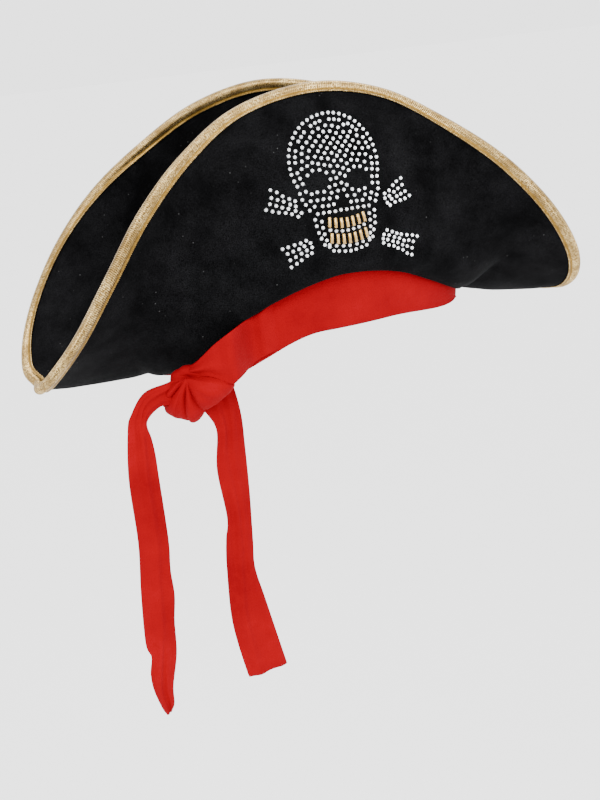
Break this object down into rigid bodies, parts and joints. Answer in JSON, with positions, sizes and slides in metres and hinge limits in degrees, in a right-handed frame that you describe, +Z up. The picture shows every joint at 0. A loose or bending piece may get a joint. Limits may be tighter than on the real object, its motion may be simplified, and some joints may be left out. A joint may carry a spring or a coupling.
{
  "type": "pirate hat",
  "caption": "Velvet bicorne-style pirate hat with turned-up brim, braided edge, beaded skull motif, and a red scarf band with knot and two hanging tails.",
  "frame": {"origin": "middle of the head opening, level with the scarf band's lower edge at the front", "axes": "+Z up with the hat level on a head, the motif faces -Y, +X is to the right of someone looking at the motif, and the knot is on the -X side"},
  "size_m": [0.43, 0.1742, 0.4415],
  "materials": {
    "velvet": "black short-pile velvet",
    "stiffener": "black buckram",
    "lining": "black satin",
    "scarf": "plain-woven red cotton",
    "braid": "metallic champagne gold gimp braid",
    "crystal": "clear foiled cut crystal",
    "bead": "gold-lined bugle beads"
  },
  "bodies": {
    "hat": {"front_flap_velvet_outer": "velvet", "front_flap_velvet_inner": "velvet", "back_flap_velvet_outer": "velvet", "back_flap_velvet_inner": "velvet", "crown_wall": "velvet", "crown_top": "velvet", "front_flap_stiffener": "stiffener", "back_flap_stiffener": "stiffener", "lining_wall": "lining", "lining_top": "lining", "sweatband": "lining", "scarf_band": "scarf", "knot": "scarf", "edge_braid": "braid", "skull_crystals": "crystal", "jaw_crystals": "crystal", "bone_left_upper": "crystal", "bone_left_lower": "crystal", "bone_right_upper": "crystal", "bone_right_lower": "crystal", "tooth_upper_1": "bead", "tooth_upper_2": "bead", "tooth_upper_3": "bead", "tooth_upper_4": "bead", "tooth_upper_5": "bead", "tooth_upper_6": "bead", "tooth_upper_7": "bead", "tooth_lower_1": "bead", "tooth_lower_2": "bead", "tooth_lower_3": "bead", "tooth_lower_4": "bead", "tooth_lower_5": "bead", "tooth_lower_6": "bead", "tooth_lower_7": "bead"},
    "tail_long_upper": {"tail_long_upper": "scarf"},
    "tail_long_lower": {"tail_long_lower": "scarf"},
    "tail_short_upper": {"tail_short_upper": "scarf"},
    "tail_short_lower": {"tail_short_lower": "scarf"}
  },
  "joints": [
    {"name": "tail_long_swing", "type": "hinge", "parent": "hat", "child": "tail_long_upper", "pos_m": [-0.131, -0.062, -0.022], "axis": [1, 0, 0], "range_deg": [-60, 60]},
    {"name": "tail_long_bend", "type": "hinge", "parent": "tail_long_upper", "child": "tail_long_lower", "pos_m": [-0.158, -0.062, -0.15], "axis": [1, 0, 0], "range_deg": [-50, 50]},
    {"name": "tail_short_swing", "type": "hinge", "parent": "hat", "child": "tail_short_upper", "pos_m": [-0.094, -0.062, -0.044], "axis": [1, 0, 0], "range_deg": [-60, 60]},
    {"name": "tail_short_bend", "type": "hinge", "parent": "tail_short_upper", "child": "tail_short_lower", "pos_m": [-0.0915, -0.062, -0.145], "axis": [1, 0, 0], "range_deg": [-50, 50]}
  ]
}
